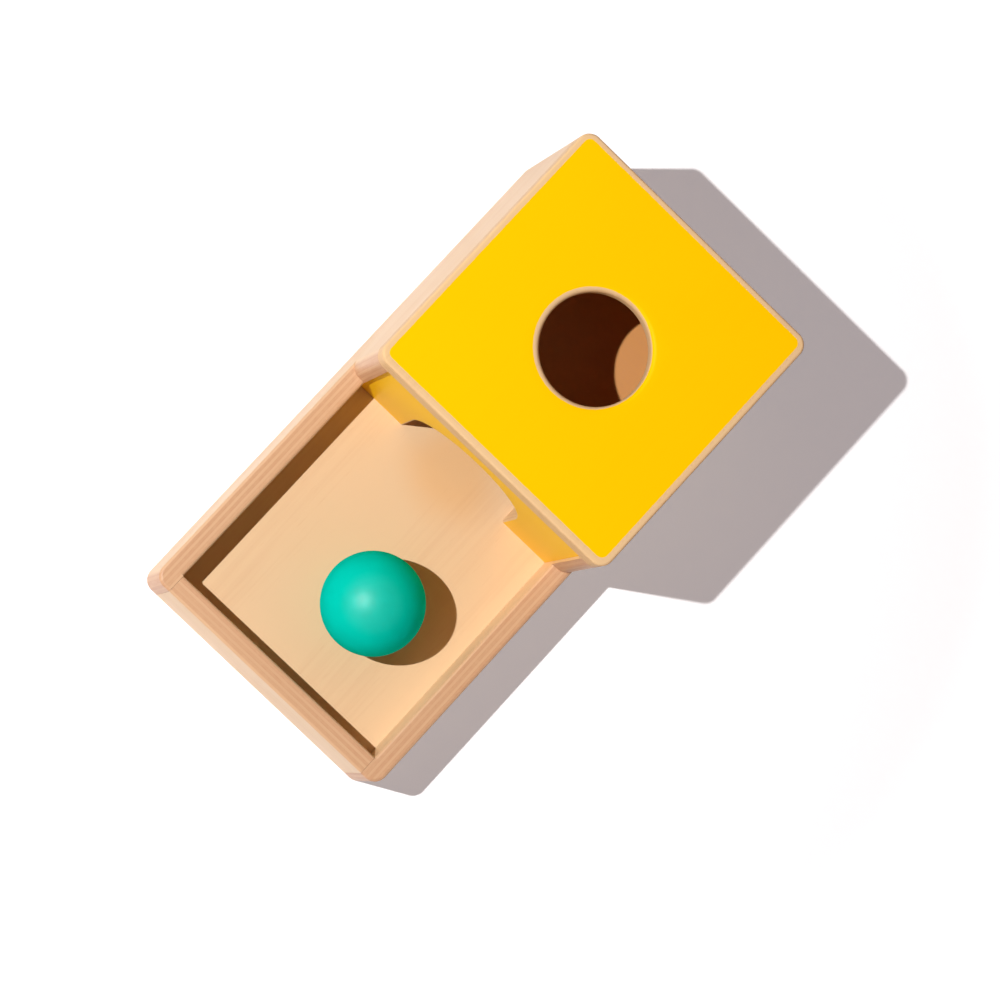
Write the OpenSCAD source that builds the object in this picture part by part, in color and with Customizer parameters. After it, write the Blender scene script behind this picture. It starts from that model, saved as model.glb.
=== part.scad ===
/* [Box] */
// Width of the toy over both side boards
body_w = 130; // [116:1:160]
// Depth of the closed box, from its front edge to its back
box_d = 132; // [116:1:160]
// Height of the box, from the table to the painted top
box_h = 104; // [96:1:130]
// Thickness of the top panel
top_t = 11; // [9:0.5:16]
// Radius of the top panel's upper edge
top_edge_r = 1.25; // [0.5:0.25:2.5]

/* [Tray] */
// Length of the open tray in front of the box
tray_d = 122; // [100:1:150]
// Height of the tray walls above the table
wall_h = 40; // [34:1:46]
// Height of the tray floor's face above the table
floor_z = 20; // [14:0.5:24]
// Thickness of the floor panel
floor_t = 6; // [4:0.5:8]

/* [Boards] */
// Thickness of the side boards, the back panel and the tray's end wall
board_t = 9; // [8:0.5:12]
// Radius of the sanded edges along the tray walls
edge_r = 1.5; // [0.75:0.25:3]
// Radius of the upright corners, seen from above
corner_r = 6; // [6:0.5:8]

/* [Front panel] */
// Thickness of the painted front panel
panel_t = 9; // [6:0.5:12]
// Depth of the front panel's face behind the front edges of the side boards
panel_set = 2; // [1:0.25:5]
// Width of the doorway that the ball rolls out of
arch_w = 60; // [50:1:76]
// Height of the doorway above the tray floor
arch_h = 54; // [48:1:56]

/* [Ball and hole] */
// Diameter of the wooden ball
ball_d = 45; // [40:0.5:46]
// Diameter of the round hole in the top panel
hole_d = 48; // [47:0.5:58]
// Radius of the rounded rim of the hole
hole_round = 2.4; // [1:0.1:3]
// Place of the ball to the right of the tray's centre line
ball_x = 10.5; // [-20:0.5:20]
// Place of the ball's centre behind the tray's front face
ball_y = 55.5; // [36:0.5:76]

/* [Ramp] */
// Slope of the ramp inside the box, in degrees
ramp_angle = 7; // [5:0.5:10]
// Thickness of the ramp board
ramp_t = 4; // [3:0.5:5]
// Thickness of the ramp's blunt toe
toe_t = 0.6; // [0.4:0.1:1]
// Depth of the ramp's toe behind the box's front edge
toe_d = 25; // [20:1:40]
// Width of each runner that carries the ramp
runner_w = 10; // [6:0.5:16]
// Height of a runner at its low end
runner_low = 1.5; // [1:0.1:3]

/* [Joinery] */
// Depth of the groove that holds the floor panel
groove_d = 4; // [2:0.5:5]
// Depth of the upright groove that holds the front panel
housing_d = 3; // [2:0.5:4]
// Diameter of the hidden dowels
dowel_d = 5; // [4:0.5:6]
// Length of a dowel in the end of a board
dowel_deep = 14; // [10:1:18]
// Length of a dowel in the top panel or in the face of a side board
dowel_short = 5; // [4:0.5:6]
// Chamfer at both ends of a dowel
dowel_chamfer = 0.6; // [0.3:0.1:1]
// Room past each end of a dowel
dowel_room = 0.4; // [0.2:0.1:0.6]
// Gap of a glued joint, on each side
glue_gap = 0.1; // [0.05:0.05:0.2]
// Gap under the ball where it rests on the floor
rest_gap = 0.3; // [0.2:0.05:0.5]

/* [Hidden] */
$fn = 96;

// Places of the dowels along the edge that they join, as shares of its length
top_dowel_shares = [0.24, 0.78];
back_dowel_shares = [0.36, 0.75];

// Overrun of every cut past the faces that it opens
over = 1;

birch = [0.93, 0.79, 0.62];
birch_edge = [0.82, 0.65, 0.48];
yellow = [1, 0.79, 0.02];
teal = [0.03, 0.76, 0.66];

left = -1;
right = 1;
len_all = tray_d + box_d;
y_front = -len_all / 2;
y_back = len_all / 2;
y_box = y_back - box_d;
y_wall = y_front + board_t;
y_rear = y_back - board_t;
x_in = body_w / 2 - board_t;
x_mid = body_w / 2 - board_t / 2;
body_h = box_h - top_t;
panel_y = y_box + panel_set;
hole_r = hole_d / 2;
hole_y = y_box + box_d / 2;
dowel_hole_r = dowel_d / 2 + glue_gap;

// The ramp rises from its toe to the back panel, and its underside leaves the floor later
toe_y = y_box + toe_d;
ramp_end = y_rear - glue_gap;
ramp_foot = floor_z + glue_gap;
rise_share = tan(ramp_angle);
under_y = toe_y + (ramp_t / cos(ramp_angle) - toe_t) / rise_share;
runner_y = under_y + runner_low / rise_share;

// Section of a board with both upper edges rounded to r, standing on the x axis
module edge_section(w, h, r) {
    translate([-w / 2, 0]) square([w, h - r]);
    translate([r - w / 2, 0]) square([w - 2 * r, h]);
    for (side = [left, right])
        translate([side * (w / 2 - r), h - r]) circle(r);
}

// Slab with round upright corners and an upper edge rounded to r all the way round
module soft_slab(w, d, h, r) {
    rotate([90, 0, 0]) linear_extrude(d - 2 * corner_r, center = true) edge_section(w, h, r);
    rotate([90, 0, 90]) linear_extrude(w - 2 * corner_r, center = true) edge_section(d, h, r);
    for (sx = [left, right], sy = [left, right])
        translate([sx * (w / 2 - corner_r), sy * (d / 2 - corner_r), 0])
            rotate_extrude() intersection() {
                edge_section(2 * corner_r, h, r);
                square([corner_r, h]);
            }
}

// Upright block with round corners and plain upper and lower faces
module round_block(w, d, h) {
    translate([-w / 2, corner_r - d / 2, 0]) cube([w, d - 2 * corner_r, h]);
    translate([corner_r - w / 2, -d / 2, 0]) cube([w - 2 * corner_r, d, h]);
    for (sx = [left, right], sy = [left, right])
        translate([sx * (w / 2 - corner_r), sy * (d / 2 - corner_r), 0]) cylinder(r = corner_r, h = h);
}

// Outer form that the side boards, the end wall and the back panel are cut to
module body_form() {
    soft_slab(body_w, len_all, wall_h, edge_r);
    translate([0, y_box + box_d / 2, 0]) round_block(body_w, box_d, body_h);
}

// Cutter that leaves a round edge: the edge lies at edge_r along both of its axes
module edge_cutter(run) {
    linear_extrude(run) difference() {
        square(edge_r + over);
        circle(edge_r);
    }
}

// Slot for the floor panel, open towards the inside of the tray and the box
module floor_slot() {
    reach = groove_d + glue_gap;
    translate([-x_in - reach, y_wall - reach, floor_z - floor_t - glue_gap])
        cube([2 * (x_in + reach), y_rear - y_wall + 2 * reach, floor_t + 2 * glue_gap]);
}

// Dowel with chamfered ends, standing up, with its middle joint at z = 0
module dowel(above, below) {
    r = dowel_d / 2;
    neck = r - dowel_chamfer;
    rotate_extrude()
        polygon([
            [0, -below], [neck, -below], [r, dowel_chamfer - below],
            [r, above - dowel_chamfer], [neck, above], [0, above]
        ]);
}

// Blind hole for such a dowel, with room past both ends
module dowel_hole(above, below) {
    translate([0, 0, -below - dowel_room]) cylinder(r = dowel_hole_r, h = above + below + 2 * dowel_room);
}

// Places of the three groups of dowels: children are set with +Z out of the board's end
module at_top_dowel(side, share) {
    translate([side * x_mid, y_box + share * box_d, body_h]) children();
}

module at_back_dowel(side, share) {
    translate([side * x_in, y_back - board_t / 2, share * body_h]) rotate([0, side * 90, 0]) children();
}

module at_wall_dowel(side) {
    translate([side * x_in, y_front + board_t / 2, (floor_z + wall_h) / 2]) rotate([0, side * 90, 0]) children();
}

// Side board: low beside the tray, tall beside the box, grooved for the floor and the front panel
module side_board(side) {
    color(birch) difference() {
        intersection() {
            body_form();
            translate([side > 0 ? x_in : -x_in - board_t - over, y_front - over, -over])
                cube([board_t + over, len_all + 2 * over, box_h]);
        }
        floor_slot();
        translate([-x_in - housing_d - glue_gap, panel_y - glue_gap, floor_z - glue_gap])
            cube([2 * (x_in + housing_d + glue_gap), panel_t + 2 * glue_gap, box_h]);
        translate([side * (x_in + edge_r), y_box, wall_h - edge_r])
            mirror([side > 0 ? 1 : 0, 0, 0]) rotate([90, 0, 0]) edge_cutter(y_box - y_wall);
        for (share = top_dowel_shares) at_top_dowel(side, share) dowel_hole(dowel_short, dowel_deep);
        for (share = back_dowel_shares) at_back_dowel(side, share) dowel_hole(dowel_short, dowel_deep);
        at_wall_dowel(side) dowel_hole(dowel_short, dowel_deep);
    }
}

// End wall of the tray, between the side boards
module tray_end_wall() {
    half = x_in - glue_gap;
    color(birch) difference() {
        intersection() {
            body_form();
            translate([-half, y_front - over, -over]) cube([2 * half, board_t + over, box_h]);
        }
        floor_slot();
        translate([-x_in, y_wall - edge_r, wall_h - edge_r])
            rotate([90, 0, 90]) edge_cutter(2 * x_in);
        for (side = [left, right]) at_wall_dowel(side) dowel_hole(dowel_short, dowel_deep);
    }
}

// Back panel of the box, between the side boards
module back_panel() {
    half = x_in - glue_gap;
    color(birch) difference() {
        translate([-half, y_rear, 0]) cube([2 * half, board_t, body_h - glue_gap]);
        floor_slot();
        for (side = [left, right], share = back_dowel_shares)
            at_back_dowel(side, share) dowel_hole(dowel_short, dowel_deep);
    }
}

// Painted front panel with its round-headed doorway, standing on the floor
module front_panel() {
    half = x_in + housing_d;
    color(yellow) difference() {
        translate([-half, panel_y, floor_z + glue_gap]) cube([2 * half, panel_t, body_h - floor_z - 2 * glue_gap]);
        translate([-arch_w / 2, panel_y - over, floor_z - over])
            cube([arch_w, panel_t + 2 * over, arch_h - arch_w / 2 + over]);
        translate([0, panel_y - over, floor_z + arch_h - arch_w / 2])
            rotate([-90, 0, 0]) cylinder(d = arch_w, h = panel_t + 2 * over);
    }
}

// Top panel with rounded edges and the round hole for the ball
module top_panel() {
    color(yellow) difference() {
        translate([0, y_box + box_d / 2, body_h]) soft_slab(body_w, box_d, top_t, top_edge_r);
        translate([0, hole_y, body_h - over]) cylinder(d = hole_d, h = top_t + 2 * over);
        translate([0, hole_y, box_h - hole_round]) rotate_extrude() difference() {
            translate([hole_r - hole_round, 0]) square([2 * hole_round, hole_round + over]);
            translate([hole_r + hole_round, 0]) circle(hole_round);
        }
        for (side = [left, right], share = top_dowel_shares)
            at_top_dowel(side, share) dowel_hole(dowel_short, dowel_deep);
    }
}

// Floor panel of the tray, which runs on under the box
module tray_floor() {
    half = x_in + groove_d;
    color(birch) translate([-half, y_wall - groove_d, floor_z - floor_t])
        cube([2 * half, y_rear - y_wall + 2 * groove_d, floor_t]);
}

// Extrudes an outline drawn in y and z across the toy, from x = 0 to x = w
module across(w) {
    rotate([90, 0, 90]) linear_extrude(w) children();
}

// Height of the ramp's underside at y
function under_z(y) = ramp_foot + (y - under_y) * rise_share;

// Sloping board that sends the ball out through the doorway
module ramp() {
    half = x_in - glue_gap;
    color(birch) translate([-half, 0, 0]) across(2 * half)
        polygon([
            [toe_y, ramp_foot],
            [under_y, ramp_foot],
            [ramp_end, under_z(ramp_end)],
            [ramp_end, ramp_foot + toe_t + (ramp_end - toe_y) * rise_share],
            [toe_y, ramp_foot + toe_t]
        ]);
}

// Wedge under one edge of the ramp
module ramp_runner(side) {
    start = side > 0 ? x_in - glue_gap - runner_w : glue_gap - x_in;
    color(birch_edge) translate([start, 0, 0]) across(runner_w)
        polygon([
            [runner_y, ramp_foot],
            [ramp_end, ramp_foot],
            [ramp_end, under_z(ramp_end) - glue_gap],
            [runner_y, under_z(runner_y) - glue_gap]
        ]);
}

module top_dowel(side, share) {
    color(birch_edge) at_top_dowel(side, share) dowel(dowel_short, dowel_deep);
}

module back_dowel(side, share) {
    color(birch_edge) at_back_dowel(side, share) dowel(dowel_short, dowel_deep);
}

module wall_dowel(side) {
    color(birch_edge) at_wall_dowel(side) dowel(dowel_short, dowel_deep);
}

// The ball lies loose on the tray floor
module ball() {
    color(teal) translate([ball_x, y_front + ball_y, floor_z + rest_gap + ball_d / 2]) sphere(d = ball_d);
}

side_board(left);  // side_board_left
side_board(right);  // side_board_right
back_panel();
front_panel();
top_panel();
tray_floor();
tray_end_wall();
ramp();
ramp_runner(left);  // ramp_runner_left
ramp_runner(right);  // ramp_runner_right
top_dowel(left, top_dowel_shares[0]);  // top_dowel_front_left
top_dowel(right, top_dowel_shares[0]);  // top_dowel_front_right
top_dowel(left, top_dowel_shares[1]);  // top_dowel_back_left
top_dowel(right, top_dowel_shares[1]);  // top_dowel_back_right
back_dowel(left, back_dowel_shares[0]);  // back_dowel_low_left
back_dowel(right, back_dowel_shares[0]);  // back_dowel_low_right
back_dowel(left, back_dowel_shares[1]);  // back_dowel_high_left
back_dowel(right, back_dowel_shares[1]);  // back_dowel_high_right
wall_dowel(left);  // wall_dowel_left
wall_dowel(right);  // wall_dowel_right
ball();
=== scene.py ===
"""Wooden ball drop box for babies: plywood, painted top and front, lacquered ball, and studio."""

import math

import bpy
import numpy as np
from bpy.props import FloatProperty, FloatVectorProperty, IntProperty, PointerProperty
from bpy.types import Operator, Panel, PropertyGroup
from mathutils import Matrix, Vector


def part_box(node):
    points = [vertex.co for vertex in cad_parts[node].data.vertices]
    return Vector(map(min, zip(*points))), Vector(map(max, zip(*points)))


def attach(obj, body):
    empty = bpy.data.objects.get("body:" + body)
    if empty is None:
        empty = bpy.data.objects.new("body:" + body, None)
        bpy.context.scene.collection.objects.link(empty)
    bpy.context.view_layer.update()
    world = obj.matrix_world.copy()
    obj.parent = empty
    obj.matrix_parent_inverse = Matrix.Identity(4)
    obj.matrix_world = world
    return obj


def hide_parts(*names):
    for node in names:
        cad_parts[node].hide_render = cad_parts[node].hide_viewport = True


bl_info = {
    "name": "Ball drop box",
    "version": (1, 0, 0),
    "blender": (4, 5, 0),
    "location": "3D View > Sidebar > Ball drop box",
    "description": "Plywood, paint, lacquer and studio for a wooden ball drop box",
    "category": "Object",
}

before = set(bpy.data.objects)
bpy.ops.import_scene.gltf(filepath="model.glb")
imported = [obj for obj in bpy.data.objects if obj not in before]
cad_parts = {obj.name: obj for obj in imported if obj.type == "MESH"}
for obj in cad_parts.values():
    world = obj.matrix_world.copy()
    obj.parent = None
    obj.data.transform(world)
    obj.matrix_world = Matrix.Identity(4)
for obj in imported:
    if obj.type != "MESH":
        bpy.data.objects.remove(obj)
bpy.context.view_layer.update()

MM = 0.001
AXIS_X = Vector((1, 0, 0))
AXIS_Y = Vector((0, 1, 0))
AXIS_Z = Vector((0, 0, 1))

# Sizes that the new surfaces and the grain share with the solids
CORNER_RADIUS = 6 * MM
TOP_EDGE_RADIUS = 1.25 * MM
TOP_FOOT_RADIUS = 0.5 * MM
HOLE_RADIUS = 24 * MM
HOLE_RIM_RADIUS = 2.4 * MM
DOORWAY_RADIUS = 30 * MM
DOORWAY_HEIGHT = 54 * MM
RAMP_SLOPE = math.radians(7)
RAMP_THICKNESS = 4 * MM

# How many plies each kind of board has
RAMP_PLIES = 3
FLOOR_PLIES = 5
BOARD_PLIES = 7
TOP_PLIES = 9

# The ball has rolled, so its poles lie tilted
BALL_TURN = Matrix.Rotation(math.radians(64), 3, Vector((0.6, 0.8, 0))).to_euler()


def centre_of(node):
    """Middle of a CAD node's box."""
    low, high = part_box(node)
    return (low + high) / 2


def size_of(node):
    """Lengths of a CAD node's box."""
    low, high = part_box(node)
    return high - low


# Settings


class WoodSettings(PropertyGroup):
    """Colours and tones of the birch plywood and the turned wood."""

    pale: FloatVectorProperty(
        name="Face veneer", description="Colour of a sanded face", subtype="COLOR",
        size=3, min=0, max=1, default=(0.76, 0.53, 0.31),
    )
    deep: FloatVectorProperty(
        name="End grain", description="Colour of a ply cut across its grain", subtype="COLOR",
        size=3, min=0, max=1, default=(0.53, 0.24, 0.12),
    )
    dowel: FloatVectorProperty(
        name="Dowel", description="Colour of the turned dowels", subtype="COLOR",
        size=3, min=0, max=1, default=(0.58, 0.33, 0.17),
    )
    ramp: FloatVectorProperty(
        name="Ramp veneer", description="Colour of the ramp's darker veneer", subtype="COLOR",
        size=3, min=0, max=1, default=(0.62, 0.275, 0.082),
    )
    rim: FloatVectorProperty(
        name="Bare rim", description="Colour of the bare edges round the paint", subtype="COLOR",
        size=3, min=0, max=1, default=(0.79, 0.55, 0.29),
    )
    # Painted shade: a darker tint on the faces inside the box, where shade falls, not a colour of their
    # own
    inside_shade: FloatVectorProperty(
        name="Raw inside", description="Tint of the raw faces inside the box", subtype="COLOR",
        size=3, min=0, max=1, default=(0.5, 0.25, 0.12),
    )
    # Painted light: a warm tint on the floor before the doorway stands for light bounced off the yellow
    # front, not wear; the three settings below set it
    bounce_tint: FloatVectorProperty(
        name="Worn floor", description="Tint of the floor where the ball rolls out", subtype="COLOR",
        size=3, min=0, max=1, default=(1.0, 0.88, 0.72),
    )
    bounce_core: FloatProperty(
        name="Worn core", description="Distance from the doorway's foot that is fully worn",
        unit="LENGTH", min=0, default=9 * MM,
    )
    bounce_reach: FloatProperty(
        name="Worn reach", description="Distance from the doorway's foot at which the wear ends",
        unit="LENGTH", min=0, default=29 * MM,
    )
    streaks: FloatProperty(
        name="Streaks", description="How strongly the grain shows", subtype="FACTOR",
        min=0, max=1, default=0.35,
    )
    cut: FloatProperty(
        name="Cut edge", description="Tone of a sanded edge, from the face veneer to the end grain",
        subtype="FACTOR", min=0, max=1, default=0.50,
    )
    lines: FloatProperty(
        name="Ply lines", description="How much the plies differ at an edge", subtype="FACTOR",
        min=0, max=1, default=0.16,
    )
    sheen: FloatProperty(
        name="Oiled roughness", description="Roughness of the oiled wood", subtype="FACTOR",
        min=0, max=1, default=0.42,
    )


class PaintSettings(PropertyGroup):
    """The yellow paint on the top and on the front, and where it stops."""

    top_yellow: FloatVectorProperty(
        name="Top", description="Paint on the top panel", subtype="COLOR",
        size=3, min=0, max=1, default=(1.0, 0.60, 0.0),
    )
    top_shine: FloatProperty(
        name="Top shine", description="Shine of the paint on the top panel", subtype="FACTOR",
        min=0, max=1, default=0.04,
    )
    front_yellow: FloatVectorProperty(
        name="Front", description="Paint on the front panel", subtype="COLOR",
        size=3, min=0, max=1, default=(1.0, 0.58, 0.004),
    )
    front_shine: FloatProperty(
        name="Front shine", description="Shine of the paint on the front panel", subtype="FACTOR",
        min=0, max=1, default=0.4,
    )
    roughness: FloatProperty(
        name="Paint roughness", description="Roughness of the dry paint", subtype="FACTOR",
        min=0, max=1, default=0.45,
    )
    edge: FloatProperty(
        name="Brushed edge", description="How far the paint's edge wanders", unit="LENGTH",
        min=0, max=1 * MM, default=0.12 * MM,
    )
    rim_width: FloatProperty(
        name="Rim width", description="Bare wood round the paint of the top panel", unit="LENGTH",
        min=0, default=2.9 * MM,
    )
    rim_slip: FloatVectorProperty(
        name="Rim slip", description="How far the painted square lies off the top panel's middle",
        subtype="XYZ", unit="LENGTH", size=2, default=(-0.35 * MM, 0.3 * MM),
    )
    mask_radius: FloatProperty(
        name="Mask radius", description="Circle round the hole where the paint stops",
        unit="LENGTH", min=0, default=25.6 * MM,
    )
    mask_slip: FloatVectorProperty(
        name="Mask slip", description="How far that circle lies off the hole's middle",
        subtype="XYZ", unit="LENGTH", size=2, default=(-1.2 * MM, -0.6 * MM),
    )


class EdgeSettings(PropertyGroup):
    """Roundings that only the finished panels have."""

    hole_foot: FloatProperty(
        name="Hole foot", description="Radius of the hole's lower edge", unit="LENGTH",
        min=0, default=4.5 * MM,
    )
    doorway: FloatProperty(
        name="Doorway", description="Radius of the doorway's eased edges", unit="LENGTH",
        min=0, default=0.9 * MM,
    )


class BallSettings(PropertyGroup):
    """The turned and lacquered ball."""

    teal: FloatVectorProperty(
        name="Teal", description="Colour of the lacquer", subtype="COLOR",
        size=3, min=0, max=1, default=(0.0005, 0.505, 0.40),
    )
    roughness: FloatProperty(
        name="Lacquer roughness", description="Roughness of the lacquer", subtype="FACTOR",
        min=0, max=1, default=0.47,
    )
    shine: FloatProperty(
        name="Shine", description="Shine of the lacquer where it faces the eye", subtype="FACTOR",
        min=0, max=1, default=0.40,
    )
    shine_reach: FloatProperty(
        name="Shine reach", description="How far toward the ball's rim the shine goes",
        subtype="FACTOR", min=0, max=1, default=0.25,
    )
    light_reach: FloatProperty(
        name="Light reach", description="How far light spreads under the lacquer",
        unit="LENGTH", min=0, default=60 * MM,
    )
    flat: FloatProperty(
        name="Pole flat", description="Depth that the lathe's centres leave at the poles",
        unit="LENGTH", min=0, max=0.5 * MM, default=0.06 * MM,
    )
    rings: IntProperty(
        name="Turning rings", description="Faint rings from pole to pole", min=0, max=120, default=46,
    )
    ring_depth: FloatProperty(
        name="Ring depth", description="Depth of the faint rings", unit="LENGTH",
        min=0, default=0.004 * MM,
    )


class StudioSettings(PropertyGroup):
    """Lamp, fill, card, floor and camera."""

    lamp_place: FloatVectorProperty(
        name="Lamp", description="Place of the lamp", subtype="XYZ", unit="LENGTH",
        size=3, default=(-0.7647, -0.5616, 1.5086),
    )
    lamp_power: FloatProperty(
        name="Lamp power", description="Power of the lamp", unit="POWER", min=0, default=134,
    )
    lamp_radius: FloatProperty(
        name="Lamp radius", description="Size of the lamp, which softens its shadows",
        unit="LENGTH", min=0, default=11 * MM,
    )
    fill: FloatVectorProperty(
        name="Fill", description="Light of the room on shaded sides", subtype="COLOR",
        size=3, min=0, max=1, default=(0.115, 0.03, 0.01),
    )
    card: FloatVectorProperty(
        name="Card", description="Light from a pale card that stands at the right and in front",
        subtype="COLOR", size=3, min=0, max=2, default=(0.6, 0.5, 0.42),
    )
    shadow: FloatVectorProperty(
        name="Floor shadow", description="Colour that the floor keeps in the shade",
        subtype="COLOR", size=3, min=0, max=1, default=(0.268, 0.293, 0.32),
    )
    shadow_reach: FloatProperty(
        name="Shadow reach", description="Distance to which the floor keeps the toy's shadow",
        unit="LENGTH", min=0, default=235 * MM,
    )
    white_start: FloatProperty(
        name="White start", description="Distance from which the floor is plain white",
        unit="LENGTH", min=0, default=360 * MM,
    )
    azimuth: FloatProperty(
        name="Azimuth", description="Turn of the camera round the toy", subtype="ANGLE",
        default=math.radians(-31.1545),
    )
    elevation: FloatProperty(
        name="Elevation", description="Height of the camera above the horizon", subtype="ANGLE",
        default=math.radians(77.1363),
    )
    roll: FloatProperty(
        name="Roll", description="Turn of the camera about its own axis", subtype="ANGLE",
        default=math.radians(74.439),
    )
    distance: FloatProperty(
        name="Distance", description="From the camera to the point it looks at",
        unit="LENGTH", min=0.1, default=1.728473,
    )
    target: FloatVectorProperty(
        name="Target", description="Point that the camera looks at", subtype="XYZ",
        unit="LENGTH", size=3, default=(0.019562, -0.00263, 0.05),
    )
    lens: FloatProperty(
        name="Lens", description="Focal length on a 36 mm sensor, in millimetres",
        min=10, default=146.3103,
    )


# Wiring of shader nodes


class Wiring:
    """Adds and joins the nodes of one node tree."""

    def __init__(self, tree):
        self.tree = tree

    def node(self, kind, feeds=None, **settings):
        """A node with its settings, and with a value or a socket fed to each input by its key."""
        made = self.tree.nodes.new(kind)
        for key, value in settings.items():
            setattr(made, key, value)
        for key, source in (feeds or {}).items():
            self.feed(made.inputs[key], source)
        return made

    def feed(self, socket, source):
        """Links an input to another node's output, or sets it to a value."""
        if isinstance(source, bpy.types.NodeSocket):
            self.tree.links.new(source, socket)
        else:
            socket.default_value = source

    def group(self, name, feeds):
        """The outputs of a shader node group, placed with its own values."""
        return self.node("ShaderNodeGroup", feeds, node_tree=shader_group(name)).outputs

    def math(self, operation, *numbers, clamp=False):
        """One operation on numbers, held between 0 and 1 where clamp is set."""
        feeds = dict(enumerate(numbers))
        return self.node("ShaderNodeMath", feeds, operation=operation, use_clamp=clamp).outputs[0]

    def add(self, first, second, clamp=False):
        """The sum of two numbers."""
        return self.math("ADD", first, second, clamp=clamp)

    def minus(self, first, second):
        """The first number less the second."""
        return self.math("SUBTRACT", first, second)

    def times(self, first, second):
        """The product of two numbers."""
        return self.math("MULTIPLY", first, second)

    def over(self, first, second):
        """The first number divided by the second."""
        return self.math("DIVIDE", first, second)

    def centred(self, value):
        """A number from 0 to 1, moved to run from -0.5 to 0.5."""
        return self.minus(value, 0.5)

    def vector(self, operation, first, second):
        """One operation on two vectors that gives a vector."""
        feeds = {0: first, 1: second}
        return self.node("ShaderNodeVectorMath", feeds, operation=operation).outputs["Vector"]

    def measure(self, operation, first, second=(0.0, 0.0, 0.0)):
        """One operation on two vectors that gives a number."""
        feeds = {0: first, 1: second}
        return self.node("ShaderNodeVectorMath", feeds, operation=operation).outputs["Value"]

    def spread(self, vector, waves):
        """A place counted in waves along each axis: noise is drawn out along the axis of fewest."""
        return self.vector("MULTIPLY", vector, waves)

    def parts(self, vector):
        """The three numbers of a vector."""
        return self.node("ShaderNodeSeparateXYZ", {0: vector}).outputs[:3]

    def even(self, value):
        """A vector, or a grey, of one number three times."""
        return self.node("ShaderNodeCombineXYZ", {0: value, 1: value, 2: value}).outputs[0]

    def noise(self, vector, scale=1.0, detail=2.0, roughness=0.5, distortion=0.0):
        """Smooth noise, mostly between 0.2 and 0.8."""
        feeds = {"Vector": vector, "Scale": scale, "Detail": detail, "Roughness": roughness,
                 "Distortion": distortion}
        return self.node("ShaderNodeTexNoise", feeds).outputs[0]

    def span(self, value, low, high, to_low=0.0, to_high=1.0, kind="LINEAR"):
        """A number carried from one span to another, and held to its ends."""
        feeds = {"Value": value, "From Min": low, "From Max": high,
                 "To Min": to_low, "To Max": to_high}
        return self.node("ShaderNodeMapRange", feeds, interpolation_type=kind).outputs[0]

    def vary(self, noise, low, high):
        """Noise carried to run from low to high."""
        return self.span(noise, 0.2, 0.8, low, high)

    def step(self, value, low, high):
        """0 up to low, 1 from high on, and a smooth step between."""
        return self.span(value, low, high, 0.0, 1.0, "SMOOTHSTEP")

    def fade(self, value, low, high, start=1.0):
        """The start value up to low, 0 from high on, and a smooth step between."""
        return self.span(value, low, high, start, 0.0, "SMOOTHSTEP")

    def mix(self, factor, first, second, blend="MIX"):
        """Two colours mixed, from the first at 0 to the second at 1."""
        feeds = {0: factor, 6: first, 7: second}
        return self.node("ShaderNodeMix", feeds, data_type="RGBA", blend_type=blend).outputs[2]

    def tint(self, color, by):
        """A colour multiplied by another."""
        return self.mix(1.0, color, by, "MULTIPLY")

    def blend(self, factor, first, second):
        """Two numbers mixed, from the first at 0 to the second at 1."""
        feeds = {0: factor, 2: first, 3: second}
        return self.node("ShaderNodeMix", feeds, data_type="FLOAT").outputs[0]

    def object_place(self):
        """A point's place on its object."""
        return self.node("ShaderNodeTexCoord").outputs["Object"]

    def attribute(self, name):
        """A number that the mesh carries at each point."""
        return self.node("ShaderNodeAttribute", attribute_name=name).outputs["Fac"]

    def relief(self, height, strength, depth):
        """The normal of a surface that a height from 0 to 1 raises by a depth."""
        feeds = {"Strength": strength, "Distance": depth, "Height": height}
        return self.node("ShaderNodeBump", feeds).outputs[0]


# Shader node groups

FLOAT = "NodeSocketFloat"
VECTOR = "NodeSocketVector"
COLOUR = "NodeSocketColor"

# Noise in birch, in waves per metre across the plies, along the grain and beside it
FIBRE_WAVES = (900.0, 16.0, 520.0)
CROSS_FIBRE_WAVES = (900.0, 520.0, 16.0)
FIGURE_WAVES = (60.0, 5.5, 46.0)
FLECK_WAVES = (900.0, 130.0, 1500.0)
SEAM_WAVES = (0.0, 24.0, 24.0)

# Noise in the wood under the paint and in the turned dowels, counted the same way
PAINTED_WAVES = (300.0, 14.0, 420.0)
TURNED_WAVES = (700.0, 30.0, 700.0)
TURNED_BROAD_WAVES = (160.0, 9.0, 160.0)

# Noise in the ball, whose grain runs from pole to pole, along its own Z
BALL_WAVES = (520.0, 520.0, 30.0)

# Steps that give each board, and each ply in it, another stretch of the same noise
SEED_STEP = (0.37, 0.51, 0.73)
PLY_STEP = 0.613

# How far the seams between plies sway from their middle
SEAM_SWAY = 0.22 * MM


def new_group(name, inputs, outputs):
    """A shader node group with named sockets: returns its tree, its wiring and its inputs."""
    tree = bpy.data.node_groups.new(name, "ShaderNodeTree")
    for label, kind, value in inputs:
        socket = tree.interface.new_socket(label, in_out="INPUT", socket_type=kind)
        if value is not None:
            socket.default_value = value
    for label, kind in outputs:
        tree.interface.new_socket(label, in_out="OUTPUT", socket_type=kind)
    net = Wiring(tree)
    entry = net.node("NodeGroupInput")
    return tree, net, {socket.name: socket for socket in entry.outputs if socket.name}


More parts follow.
